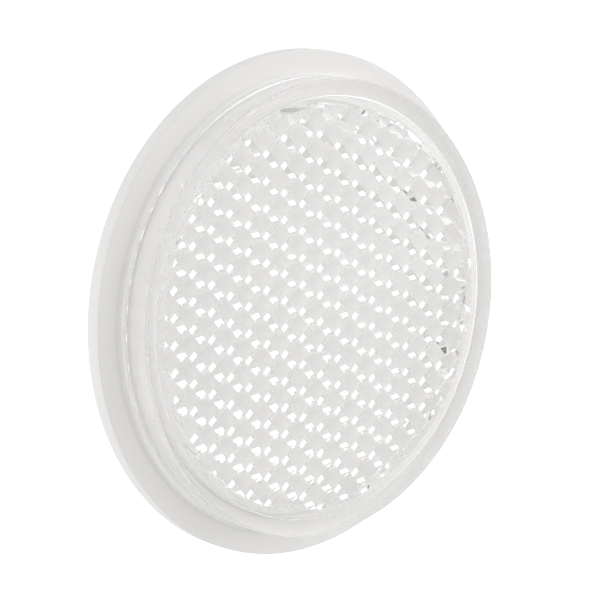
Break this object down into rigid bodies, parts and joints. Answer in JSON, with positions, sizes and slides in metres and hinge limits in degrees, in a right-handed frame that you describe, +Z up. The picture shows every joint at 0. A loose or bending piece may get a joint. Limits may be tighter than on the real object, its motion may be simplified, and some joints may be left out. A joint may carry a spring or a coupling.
{
  "type": "round reflex reflector",
  "caption": "Round clear reflex reflector: a prism lens with a honeycomb of corner cubes on a white flanged back plate, with a stick-on foam pad behind.",
  "frame": {"origin": "centre of the rear face, on the reflector's axis, where it lies on the wall", "axes": "+Y out of the rear face into the wall, -Y the way the lens faces, +Z up, +X to the right seen from the front"},
  "size_m": [0.084, 0.0116, 0.084],
  "materials": {
    "lens_clear": "clear moulded acrylic, polished front, optically smooth corner cubes behind",
    "plate_white": "white moulded plastic, fine matte grain",
    "pad_foam": "closed-cell foam tape, matte, fine open pores on its cut edge",
    "liner_paper": "silicone-coated release paper, satin, faintly fibrous"
  },
  "bodies": {
    "root": {"reflex_lens": "lens_clear", "back_plate": "plate_white", "foam_pad": "pad_foam", "release_liner": "liner_paper"}
  },
  "joints": []
}
